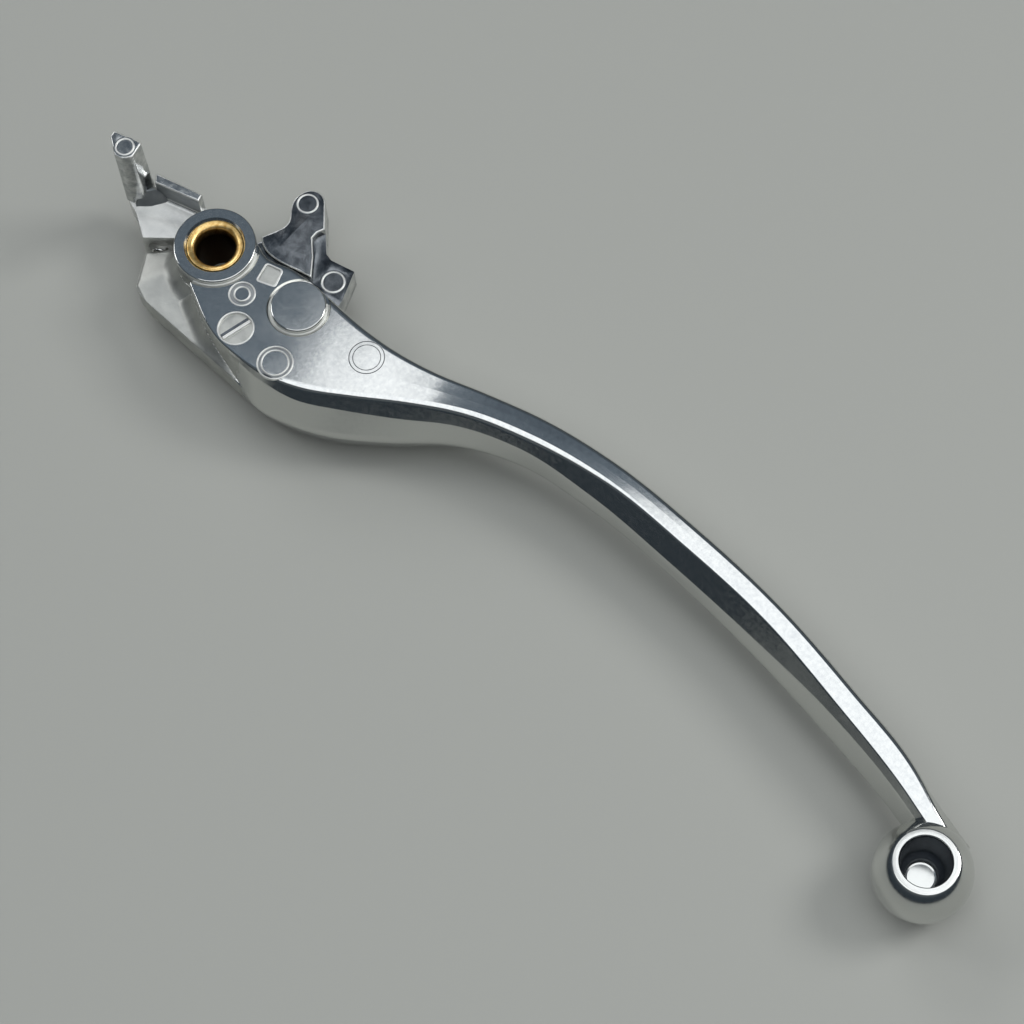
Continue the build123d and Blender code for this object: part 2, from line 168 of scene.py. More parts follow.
def crown(radius, low, high, edge=0.3):
    """Return the profile of a solid disc with a rounded upper edge."""
    arc = [(radius - edge + edge * cos(radians(a)), high - edge + edge * sin(radians(a)))
           for a in (0, 16, 32, 48, 64)]
    return [(0, low), (radius, low)] + arc + [(radius - 0.84 * edge, high), (0, high)]


def block(outline, low, high):
    """Add a block with a straight-sided outline: a circle's corners are moved to the outline's."""
    lay_down()
    bpy.ops.mesh.primitive_circle_add(vertices=len(outline), radius=MM, fill_type="NGON")
    piece = bpy.context.object
    for vertex, (x, y) in zip(piece.data.vertices, outline):
        vertex.co = (x * MM, y * MM, low * MM)
    pick_up(piece)
    bpy.ops.object.mode_set(mode="EDIT")
    bpy.ops.mesh.select_all(action="SELECT")
    bpy.ops.mesh.extrude_region_move(TRANSFORM_OT_translate={"value": (0, 0, (high - low) * MM)})
    bpy.ops.mesh.select_all(action="SELECT")
    bpy.ops.mesh.normals_make_consistent(inside=False)
    lay_down()
    return piece


def combine(piece, tool, how):
    """Join a tool's solid to a piece, or cut it away, and drop the tool."""
    pick_up(piece)
    step = piece.modifiers.new(how, "BOOLEAN")
    step.operation = how
    step.solver = "EXACT"
    step.object = tool
    bpy.ops.object.modifier_apply(modifier=step.name)
    bpy.data.objects.remove(tool)
    return piece


def attach(piece, part, made):
    """Give a small raised part its finish and make it part of the piece's mesh."""
    part.data.materials.append(made)
    pick_up(part)
    pick_up(piece)
    part.select_set(True)
    bpy.ops.object.join()
    return piece


def soften(piece, width, segments=2, angle=30):
    """Break the piece's edges with a narrow bevel."""
    pick_up(piece)
    step = piece.modifiers.new("edges", "BEVEL")
    step.width = width * MM
    step.segments = segments
    step.limit_method = "ANGLE"
    step.angle_limit = radians(angle)
    step.use_clamp_overlap = True
    bpy.ops.object.modifier_apply(modifier=step.name)
    return piece


def smooth(piece, angle=17):
    """Shade smooth across the small steps of the roundings; larger steps stay crisp edges."""
    pick_up(piece)
    bpy.ops.object.shade_smooth_by_angle(angle=radians(angle))
    return piece


def copy_of(node, name):
    """Copy a CAD solid as a new piece, with its loose triangles joined into whole faces."""
    lay_down()
    piece = nodes[node].copy()
    piece.data = nodes[node].data.copy()
    piece.name = piece.data.name = name
    piece.parent = None
    for key in list(piece.keys()):
        del piece[key]
    bpy.context.scene.collection.objects.link(piece)
    pick_up(piece)
    bpy.ops.object.mode_set(mode="EDIT")
    bpy.ops.mesh.select_all(action="SELECT")
    bpy.ops.mesh.customdata_custom_splitnormals_clear()
    bpy.ops.mesh.remove_doubles(threshold=0.002 * MM)
    bpy.ops.mesh.dissolve_limited(angle_limit=radians(1.0))
    lay_down()
    return piece


# ---------------------------------------------------------------- materials
def colour(code):
    """Turn an sRGB hex colour to the linear values that a shader takes."""
    parts = [int(code[i:i + 2], 16) / 255 for i in (0, 2, 4)]
    return tuple(c / 12.92 if c <= 0.04045 else ((c + 0.055) / 1.055) ** 2.4 for c in parts) + (1,)


def add(tree, kind, links=(), values=(), **settings):
    """Add a node with its settings, the values of its sockets and the links into it."""
    made = tree.nodes.new(kind)
    for key, value in settings.items():
        setattr(made, key, value)
    for socket, value in dict(values).items():
        made.inputs[socket].default_value = value
    for socket, source in dict(links).items():
        tree.links.new(source, made.inputs[socket])
    return made


def fresh_material(name):
    """Return a new material, its empty tree and its output."""
    made = bpy.data.materials.new(name)
    made.use_nodes = True
    made.node_tree.nodes.clear()
    return made, made.node_tree, made.node_tree.nodes.new("ShaderNodeOutputMaterial")


def ground_aluminium():
    """Die-cast aluminium ground on a belt and buffed: satin, with a fine uneven grain."""
    made, tree, out = fresh_material("ground_aluminium")
    place = add(tree, "ShaderNodeTexCoord")
    grain = add(tree, "ShaderNodeTexNoise", {"Vector": place.outputs["Object"]},
                {"Scale": 1 / (0.9 * MM), "Detail": 3.0, "Roughness": 0.6})
    stretch = add(tree, "ShaderNodeMapping", {"Vector": place.outputs["Object"]},
                  {"Rotation": (0, 0, radians(35)), "Scale": (0.12, 1, 1)})
    lines = add(tree, "ShaderNodeTexNoise", {"Vector": stretch.outputs["Vector"]},
                {"Scale": 1 / (0.35 * MM), "Detail": 2.0, "Roughness": 0.5})
    cloud = add(tree, "ShaderNodeTexNoise", {"Vector": place.outputs["Object"]},
                {"Scale": 1 / (7 * MM), "Detail": 3.0, "Roughness": 0.6})
    rough = add(tree, "ShaderNodeMapRange", {"Value": cloud.outputs["Fac"]},
                {"From Min": 0.3, "From Max": 0.7, "To Min": 0.065, "To Max": 0.105})
    tint = add(tree, "ShaderNodeValToRGB", {"Fac": grain.outputs["Fac"]})
    tint.color_ramp.elements[0].position = 0.2
    tint.color_ramp.elements[0].color = colour("c4c6c6")
    tint.color_ramp.elements[1].position = 0.8
    tint.color_ramp.elements[1].color = colour("dcddda")
    fine = add(tree, "ShaderNodeBump", {"Height": lines.outputs["Fac"]},
               {"Strength": 0.5, "Distance": 0.001 * MM})
    bump = add(tree, "ShaderNodeBump",
               {"Height": grain.outputs["Fac"], "Normal": fine.outputs["Normal"]},
               {"Strength": 0.8, "Distance": 0.002 * MM})
    look = add(tree, "ShaderNodeBsdfPrincipled",
               {"Base Color": tint.outputs["Color"], "Roughness": rough.outputs["Result"],
                "Normal": bump.outputs["Normal"]}, {"Metallic": 1.0})
    tree.links.new(look.outputs["BSDF"], out.inputs["Surface"])
    return made


def polished_aluminium():
    """Die-cast aluminium buffed bright: a mirror with a slight waviness along the blade."""
    made, tree, out = fresh_material("polished_aluminium")
    place = add(tree, "ShaderNodeTexCoord")
    wave = add(tree, "ShaderNodeTexNoise", {"Vector": place.outputs["Object"]},
               {"Scale": 1 / (9 * MM), "Detail": 1.0, "Roughness": 0.4})
    specks = add(tree, "ShaderNodeTexNoise", {"Vector": place.outputs["Object"]},
                 {"Scale": 1 / (0.8 * MM), "Detail": 3.0, "Roughness": 0.6})
    rough = add(tree, "ShaderNodeMapRange", {"Value": specks.outputs["Fac"]},
                {"From Min": 0.35, "From Max": 0.75, "To Min": 0.12, "To Max": 0.19})
    bump = add(tree, "ShaderNodeBump", {"Height": wave.outputs["Fac"]},
               {"Strength": 0.6, "Distance": 0.05 * MM})
    look = add(tree, "ShaderNodeBsdfPrincipled",
               {"Roughness": rough.outputs["Result"], "Normal": bump.outputs["Normal"]},
               {"Base Color": colour("d3d4d1"), "Metallic": 1.0})
    tree.links.new(look.outputs["BSDF"], out.inputs["Surface"])
    return made


def die_skin(name, dark, light):
    """Skin of a pressure casting, burnished by tumbling: bright patches among dull ones."""
    made, tree, out = fresh_material(name)
    place = add(tree, "ShaderNodeTexCoord")
    mottle = add(tree, "ShaderNodeTexNoise", {"Vector": place.outputs["Object"]},
                 {"Scale": 1 / (2.2 * MM), "Detail": 5.0, "Roughness": 0.7, "Distortion": 0.4})
    rough = add(tree, "ShaderNodeMapRange", {"Value": mottle.outputs["Fac"]},
                {"From Min": 0.4, "From Max": 0.7, "To Min": 0.15, "To Max": 0.26})
    tint = add(tree, "ShaderNodeValToRGB", {"Fac": mottle.outputs["Fac"]})
    tint.color_ramp.elements[0].position = 0.35
    tint.color_ramp.elements[0].color = colour(dark)
    tint.color_ramp.elements[1].position = 0.65
    tint.color_ramp.elements[1].color = colour(light)
    bump = add(tree, "ShaderNodeBump", {"Height": mottle.outputs["Fac"]},
               {"Strength": 0.7, "Distance": 0.006 * MM})
    look = add(tree, "ShaderNodeBsdfPrincipled",
               {"Base Color": tint.outputs["Color"], "Roughness": rough.outputs["Result"],
                "Normal": bump.outputs["Normal"]}, {"Metallic": 1.0})
    tree.links.new(look.outputs["BSDF"], out.inputs["Surface"])
    return made


def cast_aluminium(name, dark, light):
    """Aluminium as it leaves the die, tumbled: dull, with a sandy grain and faint flow marks."""
    made, tree, out = fresh_material(name)
    place = add(tree, "ShaderNodeTexCoord")
    sand = add(tree, "ShaderNodeTexNoise", {"Vector": place.outputs["Object"]},
               {"Scale": 1 / (0.5 * MM), "Detail": 3.0, "Roughness": 0.65})
    flow = add(tree, "ShaderNodeTexNoise", {"Vector": place.outputs["Object"]},
               {"Scale": 1 / (4 * MM), "Detail": 4.0, "Roughness": 0.6, "Distortion": 0.6})
    tint = add(tree, "ShaderNodeValToRGB", {"Fac": flow.outputs["Fac"]})
    tint.color_ramp.elements[0].position = 0.3
    tint.color_ramp.elements[0].color = colour(dark)
    tint.color_ramp.elements[1].position = 0.7
    tint.color_ramp.elements[1].color = colour(light)
    rough = add(tree, "ShaderNodeMapRange", {"Value": flow.outputs["Fac"]},
                {"From Min": 0.3, "From Max": 0.7, "To Min": 0.44, "To Max": 0.52})
    bump = add(tree, "ShaderNodeBump", {"Height": sand.outputs["Fac"]},
               {"Strength": 0.8, "Distance": 0.04 * MM})
    look = add(tree, "ShaderNodeBsdfPrincipled",
               {"Base Color": tint.outputs["Color"], "Roughness": rough.outputs["Result"],
                "Normal": bump.outputs["Normal"]}, {"Metallic": 1.0})
    tree.links.new(look.outputs["BSDF"], out.inputs["Surface"])
    return made


def turned_bronze():
    """Sintered bronze, turned: golden, with fine rings round the bore, and painted shade darkening
    the bore below.
    """
    made, tree, out = fresh_material("turned_bronze")
    place = add(tree, "ShaderNodeTexCoord")
    rings = add(tree, "ShaderNodeTexWave", {"Vector": place.outputs["Object"]},
                {"Scale": 1 / (1.2 * MM), "Distortion": 1.0, "Detail": 2.0},
                wave_type="RINGS", rings_direction="Z")
    pores = add(tree, "ShaderNodeTexNoise", {"Vector": place.outputs["Object"]},
                {"Scale": 1 / (0.8 * MM), "Detail": 3.0, "Roughness": 0.6})
    tint = add(tree, "ShaderNodeValToRGB", {"Fac": pores.outputs["Fac"]})
    tint.color_ramp.elements[0].position = 0.3
    tint.color_ramp.elements[0].color = colour("c69a52")
    tint.color_ramp.elements[1].position = 0.65
    tint.color_ramp.elements[1].color = colour("f3d493")
    # Painted shade: the tint darkens to dark brown between 1.6 and 3.4 mm down the bore
    depth = add(tree, "ShaderNodeSeparateXYZ", {"Vector": place.outputs["Object"]})
    bore_shade = add(tree, "ShaderNodeMapRange", {"Value": depth.outputs["Z"]},
                {"From Min": -3.4 * MM, "From Max": -1.6 * MM})
    bore_shade_tint = add(tree, "ShaderNodeMix", (), {"A": colour("4a3216")}, data_type="RGBA")
    tree.links.new(bore_shade.outputs["Result"], bore_shade_tint.inputs["Factor"])
    tree.links.new(tint.outputs["Color"], bore_shade_tint.inputs["B"])
    bump = add(tree, "ShaderNodeBump", {"Height": rings.outputs["Fac"]},
               {"Strength": 0.4, "Distance": 0.01 * MM})
    look = add(tree, "ShaderNodeBsdfPrincipled",
               {"Base Color": bore_shade_tint.outputs["Result"], "Normal": bump.outputs["Normal"]},
               {"Metallic": 1.0, "Roughness": 0.34})
    tree.links.new(look.outputs["BSDF"], out.inputs["Surface"])
    return made


def spring_wire():
    """Drawn spring steel: bright grey with fine lines along the wire."""
    made, tree, out = fresh_material("spring_wire")
    place = add(tree, "ShaderNodeTexCoord")
    marks = add(tree, "ShaderNodeTexNoise", {"Vector": place.outputs["Object"]},
                {"Scale": 1 / (0.6 * MM), "Detail": 2.0})
    rough = add(tree, "ShaderNodeMapRange", {"Value": marks.outputs["Fac"]},
                {"From Min": 0.3, "From Max": 0.7, "To Min": 0.14, "To Max": 0.26})
    look = add(tree, "ShaderNodeBsdfPrincipled", {"Roughness": rough.outputs["Result"]},
               {"Base Color": colour("c9c9c6"), "Metallic": 1.0})
    tree.links.new(look.outputs["BSDF"], out.inputs["Surface"])
    return made


def zinc_steel():
    """Zinc-plated steel: cool grey, faintly cloudy."""
    made, tree, out = fresh_material("zinc_steel")
    place = add(tree, "ShaderNodeTexCoord")
    cloud = add(tree, "ShaderNodeTexNoise", {"Vector": place.outputs["Object"]},
                {"Scale": 1 / (2.5 * MM), "Detail": 3.0})
    tint = add(tree, "ShaderNodeValToRGB", {"Fac": cloud.outputs["Fac"]})
    tint.color_ramp.elements[0].color = colour("a9adb0")
    tint.color_ramp.elements[1].color = colour("c6cacc")
    look = add(tree, "ShaderNodeBsdfPrincipled", {"Base Color": tint.outputs["Color"]},
               {"Metallic": 1.0, "Roughness": 0.27})
    tree.links.new(look.outputs["BSDF"], out.inputs["Surface"])
    return made


def black_anodised():
    """Machined aluminium, anodised black: an even satin with a very fine grain."""
    made, tree, out = fresh_material("black_anodised_aluminium")
    place = add(tree, "ShaderNodeTexCoord")
    grain = add(tree, "ShaderNodeTexNoise", {"Vector": place.outputs["Object"]},
                {"Scale": 1 / (0.4 * MM), "Detail": 2.0})
    rough = add(tree, "ShaderNodeMapRange", {"Value": grain.outputs["Fac"]},
                {"From Min": 0.3, "From Max": 0.7, "To Min": 0.32, "To Max": 0.42})
    bump = add(tree, "ShaderNodeBump", {"Height": grain.outputs["Fac"]},
               {"Strength": 0.4, "Distance": 0.01 * MM})
    look = add(tree, "ShaderNodeBsdfPrincipled",
               {"Roughness": rough.outputs["Result"], "Normal": bump.outputs["Normal"]},
               {"Base Color": colour("1b1c1f"), "Metallic": 0.6})
    tree.links.new(look.outputs["BSDF"], out.inputs["Surface"])
    return made


def filled_paint():
    """White enamel wiped into the dial's engraved numbers."""
    made, tree, out = fresh_material("white_enamel")
    place = add(tree, "ShaderNodeTexCoord")
    dust = add(tree, "ShaderNodeTexNoise", {"Vector": place.outputs["Object"]},
               {"Scale": 1 / (0.5 * MM), "Detail": 2.0})
    tint = add(tree, "ShaderNodeValToRGB", {"Fac": dust.outputs["Fac"]})
    tint.color_ramp.elements[0].color = colour("d2d2cc")
    tint.color_ramp.elements[1].color = colour("efefea")
    look = add(tree, "ShaderNodeBsdfPrincipled", {"Base Color": tint.outputs["Color"]},
               {"Roughness": 0.45})
    tree.links.new(look.outputs["BSDF"], out.inputs["Surface"])
    return made


def moulded_nylon():
    """Moulded nylon, black: a soft even sheen."""
    made, tree, out = fresh_material("moulded_nylon")
    place = add(tree, "ShaderNodeTexCoord")
    grain = add(tree, "ShaderNodeTexNoise", {"Vector": place.outputs["Object"]},
                {"Scale": 1 / (0.6 * MM), "Detail": 2.0})
    rough = add(tree, "ShaderNodeMapRange", {"Value": grain.outputs["Fac"]},
                {"From Min": 0.3, "From Max": 0.7, "To Min": 0.4, "To Max": 0.5})
    look = add(tree, "ShaderNodeBsdfPrincipled", {"Roughness": rough.outputs["Result"]},
               {"Base Color": colour("262626"), "IOR": 1.53})
    tree.links.new(look.outputs["BSDF"], out.inputs["Surface"])
    return made


def bench_top():
    """Grey laminate bench: plain, matt and pale."""
    made, tree, out = fresh_material("bench_laminate")
    look = add(tree, "ShaderNodeBsdfPrincipled", (),
               {"Base Color": colour("a9aaa4"), "Roughness": 0.6})
    tree.links.new(look.outputs["BSDF"], out.inputs["Surface"])
    return made


ground = ground_aluminium()
polished = polished_aluminium()
skin = die_skin("die_skin_aluminium", "a3a6a8", "dcddda")
# Darker die skin for the knuckle's upward flat faces and two of its caps: a painted dark reflection
dark_reflection_skin = die_skin("die_skin_aluminium_painted_dark_reflection", "63676a", "8b8e91")
cast = cast_aluminium("cast_aluminium", "b4b5b1", "cdcec9")
# Pale cast finish: a painted highlight on the raised rims, the frame's lip, the date bar, the
# ball's rim ring and the knuckle's plate and bevelled edges
highlight_cast = cast_aluminium("cast_aluminium_painted_highlight", "d8d9d6", "eeeeeb")
# Mid-grey cast finish: painted shade on the groove floors of the marks and a painted mid-tone on
# the knuckle's shoulder by the rib
shaded = cast_aluminium("cast_aluminium_painted_mid_shade", "898d90", "a6a9a9")
# Dark cast finish: painted shade on the marks' walls and inside the ball's cup, and a painted
# shadow in a strip beside the date bar
dark_shade_cast = cast_aluminium("cast_aluminium_painted_dark_shade", "565b61", "6f757b")
bronze = turned_bronze()
wire = spring_wire()
zinc = zinc_steel()
anodised = black_anodised()
enamel = filled_paint()
nylon = moulded_nylon()

# ---------------------------------------------------------------- lever: sections of the blade
# Each row: x, front edge, ridge, crease, belly, top, crease height, underside, rounding of the
# ridge, fall of the upper face towards its front edge, rounding of the front edge. Millimetres.
sections = [
    (2.0, 6.5, -9.0, -9.05, -9.1, -0.9, -3.0, -16.5, 0.45, 0.0, 0.8),
    (5.4, 6.1, -10.5, -10.6, -10.7, -0.9, -3.0, -16.5, 0.45, 0.0, 0.8),
    (9.5, 5.3, -12.3, -12.4, -12.5, -0.9, -3.0, -16.5, 0.45, 0.0, 0.8),
    (14.0, 6.8, -13.5, -13.6, -13.7, -0.9, -3.0, -16.5, 0.45, 0.0, 0.8),
    (20.0, 7.4, -13.4, -14.2, -14.9, -0.9, -2.1, -16.5, 0.6, 0.0, 0.9),
    (26.0, 7.3, -12.7, -13.8, -16.6, -0.9, -2.5, -16.5, 1.0, 0.0, 1.0),
    (34.0, 7.3, -9.7, -11.8, -14.9, -0.9, -3.4, -16.4, 1.6, 0.0, 1.0),
    (42.0, 8.1, -4.5, -7.0, -11.1, -0.9, -3.8, -15.8, 1.7, 0.0, 1.0),
    (50.0, 9.9, 1.2, -1.6, -5.2, -0.9, -4.2, -15.0, 1.8, 0.08, 1.0),
    (60.0, 13.4, 7.3, 5.1, 3.2, -1.05, -3.9, -14.1, 1.8, 0.3, 1.0),
    (72.0, 17.1, 11.8, 9.8, 8.9, -1.3, -4.0, -13.3, 1.8, 0.34, 1.0),
    (88.0, 19.7, 15.3, 12.3, 11.4, -1.5, -5.2, -12.9, 1.2, 0.14, 1.0),
    (108.0, 20.2, 15.9, 12.5, 11.9, -1.5, -5.6, -12.8, 0.7, 0.02, 1.1),
    (130.0, 19.1, 15.0, 11.9, 10.6, -1.5, -5.5, -12.8, 0.5, 0.0, 1.2),
    (150.0, 16.1, 11.8, 10.1, 8.2, -1.6, -3.8, -12.6, 0.4, 0.0, 1.5),
    (168.0, 12.5, 8.3, 7.0, 5.4, -1.9, -3.6, -12.2, 0.4, 0.0, 2.6),
    (176.0, 9.2, 6.2, 5.0, 3.6, -2.4, -4.0, -11.6, 0.4, 0.0, 2.6),
    (184.0, 6.4, 4.4, 3.6, 3.0, -3.4, -4.8, -10.8, 0.4, 0.0, 2.6),
]
belly_z = -9.5


def between(x):
    """Return the section's sizes at x, on smooth curves through the rows."""
    rows = sections
    i = max(k for k in range(len(rows) - 1) if rows[k][0] <= x + 1e-9)
    x0, x1 = rows[i][0], rows[i + 1][0]
    t = (x - x0) / (x1 - x0)

    def slope(k, c):
        left, here, right = rows[max(k - 1, 0)], rows[k], rows[min(k + 1, len(rows) - 1)]
        before = (here[c] - left[c]) / (here[0] - left[0]) if k > 0 else None
        after = (right[c] - here[c]) / (right[0] - here[0]) if k < len(rows) - 1 else None
        if before is None or after is None:
            return after if before is None else before
        a, b = here[0] - left[0], right[0] - here[0]
        return (before * b + after * a) / (a + b)

    values = []
    for c in range(1, len(rows[0])):
        p0, p1 = rows[i][c], rows[i + 1][c]
        m0, m1 = slope(i, c) * (x1 - x0), slope(i + 1, c) * (x1 - x0)
        values.append((2 * t**3 - 3 * t**2 + 1) * p0 + (t**3 - 2 * t**2 + t) * m0
                      + (3 * t**2 - 2 * t**3) * p1 + (t**3 - t**2) * m1)
    return values


def rounded_corner(before, corner, after, radius, steps):
    """Return the points of an arc that rounds a corner."""
    a, b = (before - corner), (after - corner)
    half = a.angle(b) / 2
    run = min(radius / tan(half), 0.46 * a.length, 0.46 * b.length)
    if steps == 1:
        return [corner]
    start, end = corner + a.normalized() * run, corner + b.normalized() * run
    middle = corner + (a.normalized() + b.normalized()).normalized() * (run / cos(half))
    u, w = start - middle, end - middle
    sweep = u.angle(w)
    points = []
    for k in range(steps):
        t = k / (steps - 1)
        if sweep < 1e-4:
            points.append(start.lerp(end, t))
        else:
            points.append(middle + (u * sin((1 - t) * sweep) + w * sin(t * sweep)) / sin(sweep))
    return points


def section_at(x):
    """Return the (y, z) points of the blade's section at x, once round it."""
    front, ridge, crease, belly, top, crease_z, under, ridge_round, fall, front_round = between(x)
    top, under = min(top, face_z), max(under, back_z)
    bulge = 0.8 + max(0, x - 168) * 0.17
    corners = [
        (ridge, top), (ridge + (front - ridge) * 0.52, top - fall * 0.5),
        (front, top - fall - 0.02), (front + bulge, (top + under) / 2),
        (front + bulge - 1.8, under), (belly + 2.0, under),
        (belly, belly_z), (crease, crease_z),
    ]
    rounds = [ridge_round, 3.0, front_round, 3.0, 1.6, 1.6, 2.4, 1.3]
    steps = [7, 4, 9, 5, 6, 5, 7, 7]
    corners = [Vector(c).to_3d() for c in corners]
    points = []
    for i, corner in enumerate(corners):
        points += rounded_corner(corners[i - 1], corner, corners[(i + 1) % 8], rounds[i], steps[i])
        next_arc = rounded_corner(corner, corners[(i + 1) % 8], corners[(i + 2) % 8],
                                  rounds[(i + 1) % 8], steps[(i + 1) % 8])
        points += [points[-1].lerp(next_arc[0], t) for t in (0.06, 0.5, 0.94)]
    return [(p.x, p.y) for p in points]


# ---------------------------------------------------------------- lever: blade
def stations():
    """Return the x values of the rings, closer together where the form turns."""
    values, x = [], sections[0][0]
    while x < sections[-1][0] - 0.5:
        values.append(x)
        x += 1.0 if x < 60 or x > 150 else 1.6
    return values + [sections[-1][0]]


rings = [(x, section_at(x)) for x in stations()]
around = len(rings[0][1])
lay_down()
bpy.ops.mesh.primitive_grid_add(x_subdivisions=around, y_subdivisions=len(rings) - 1, size=MM)
lever = bpy.context.object
lever.name = lever.data.name = "lever_casting"
for row, (x, ring) in enumerate(rings):
    for column in range(around + 1):
        y, z = ring[column % around]
        lever.data.vertices[row * (around + 1) + column].co = (x * MM, y * MM, z * MM)
pick_up(lever)
bpy.ops.object.mode_set(mode="EDIT")
bpy.ops.mesh.select_all(action="SELECT")
bpy.ops.mesh.remove_doubles(threshold=0.0005 * MM)
bpy.ops.mesh.select_all(action="DESELECT")
bpy.ops.mesh.select_mode(type="EDGE")
bpy.ops.mesh.select_non_manifold()
bpy.ops.mesh.edge_face_add()
bpy.ops.mesh.select_all(action="SELECT")
bpy.ops.mesh.normals_make_consistent(inside=False)
bpy.ops.mesh.bisect(plane_co=(0, 0, 0), plane_no=(0, 0, 1), use_fill=True, clear_outer=True)
lay_down()

# ---------------------------------------------------------------- lever: heel, hub and ball
spring_turn = radians(48.5)
heel_end = -3.6  # end face of the heel, along the spring's direction
spring_side = -12.7  # the spring's axis, across that direction
spring_z = -11.55
seat_depth = 5.0  # of the spring's hole in the heel
coil_r = 1.3


def on_spring(u, v):
    """Return the plan point at u along and v across the knuckle spring's direction."""
    return (u * cos(spring_turn) + v * sin(spring_turn),
            -u * sin(spring_turn) + v * cos(spring_turn))


def heel_top(x, y):
    """Return the height of the heel's upper side at plan points."""
    merge = np.clip((x - 9) / 12, 0, 1)
    level = heel_z - 0.3 + np.minimum(0, y + 9) * 0.13 - 1.3 * merge ** 2
    slant = heel_z - 0.1 + (x + 6.4) * tan(radians(16.5))
    meet = np.clip(0.3 - np.abs(level - slant), 0, None)
    height = np.minimum(level, slant) - meet ** 2 / 1.2
    wall = [(hub_r * cos(radians(a)), hub_r * sin(radians(a))) for a in range(150, 290, 3)]
    wall += [(px / 4, between(px / 4)[3]) for px in range(8, 112)]
    wall = np.array(wall)
    gap = np.sqrt((x[:, None] - wall[:, 0]) ** 2 + (y[:, None] - wall[:, 1]) ** 2).min(axis=1)
    height += 2.9 * (1 - merge) * np.clip(1 - gap / 3.3, 0, None) ** 2
    starts, ends = np.array(heel_outline), np.roll(np.array(heel_outline), -1, axis=0)
    runs = ends - starts
    to_point = np.stack((x, y), axis=1)[:, None, :] - starts[None, :, :]
    share = np.clip((to_point * runs).sum(axis=2) / (runs ** 2).sum(axis=1), 0, 1)
    rim = np.sqrt(((to_point - share[:, :, None] * runs) ** 2).sum(axis=2)).min(axis=1)
    return height - 0.35 * np.clip(1 - rim / 0.6, 0, None) ** 2


heel_outline = [on_spring(heel_end, -15.4), on_spring(4.6, -16.3), (-5.4, -15.7), (15, -15.7),
                (21, -15.5), (27.5, -14.8), (26, -8), (-4, -4), on_spring(heel_end, -10.1)]
heel = block(heel_outline, back_z, -3)
for vertex in heel.data.vertices:
    if vertex.co.z < -10 * MM and vertex.co.y < -14.9 * MM:
        vertex.co.y = -14.9 * MM
lay_down()
bpy.ops.mesh.primitive_grid_add(x_subdivisions=230, y_subdivisions=90, size=2 * MM)
above = bpy.context.object
above.scale = (23.5, 9, 1)
above.location = (6 * MM, -12 * MM, 0)
settle(above)
spots = np.array([vertex.co / MM for vertex in above.data.vertices])
for vertex, height in zip(above.data.vertices, heel_top(spots[:, 0], spots[:, 1])):
    vertex.co.z = height * MM
pick_up(above)
bpy.ops.object.mode_set(mode="EDIT")
bpy.ops.mesh.select_all(action="SELECT")
bpy.ops.mesh.extrude_region_move(TRANSFORM_OT_translate={"value": (0, 0, 30 * MM)})
bpy.ops.mesh.select_all(action="SELECT")
bpy.ops.mesh.normals_make_consistent(inside=False)
lay_down()
combine(heel, above, "DIFFERENCE")
combine(lever, heel, "UNION")

plan_dial = tuple(dial_centre.to_2d())
combine(lever, turned(crown(hub_r, back_z, 0), around=128), "UNION")
combine(lever, turned(crown(boss_r, face_z - 1, 0), plan_dial, 128), "UNION")

# Ball with a flat upper side
globe = [(ball_r * cos(radians(a)), ball_r * sin(radians(a)) - ball_drop)
         for a in np.linspace(-87.5, 47, 72)]
rim = [(5.35 + 1.12 * cos(radians(a)), 0.5 * sin(radians(a)) - 0.5)
       for a in (50, 60, 70, 80, 90)] + [(0, 0)]
combine(lever, turned([(0, -ball_r - ball_drop)] + globe + rim, (reach, 0), 160), "UNION")

# ---------------------------------------------------------------- lever: grooves, marks and bores
# Centres of the round marks: beside the hub, at the blade's root, and the two along the heel
hub_mark, root_mark, heel_mark, date_place = (11.2, -3.6), (38.5, 3.1), (26.4, -9.6), (15.6, -9.6)
for radius, centre in ((hub_r, (0, 0)), (boss_r, plan_dial)):
    moat = [(radius + 0.25, face_z - 0.32), (radius + 0.55, face_z - 0.27),
            (radius + 0.9, face_z + 0.05), (radius + 0.9, face_z + 0.4),
            (radius - 0.02, face_z + 0.4), (radius - 0.02, face_z - 0.22)]
    combine(lever, turned(moat, centre, 128), "DIFFERENCE")
for outer, inner, centre in ((2.45, 1.6, hub_mark), (3.5, 3.32, root_mark), (2.75, 2.6, root_mark),
                             (3.3, 2.75, heel_mark)):
    combine(lever, turned(groove(outer, inner, 0.16, face_z, 0.06), centre), "DIFFERENCE")
date_pocket = [(0, face_z - 0.45), (3.3, face_z - 0.45), (3.45, face_z + 0.2), (0, face_z + 0.2)]
combine(lever, turned(date_pocket, date_place), "DIFFERENCE")


def frame_pocket(low, high):
    """Return the rounded four-sided block of the sunk frame."""
    made = block([(10.2, 4.2), (13.3, 5.1), (14.5, 1.9), (11.2, 0.6)], low, high)
    choose(made, "EDGE", lambda a, b: abs(a.z - b.z) > 0.1)
    bpy.ops.mesh.bevel(offset=0.5 * MM, segments=5)
    lay_down()
    return made


combine(lever, frame_pocket(face_z - 0.22, face_z + 0.3), "DIFFERENCE")

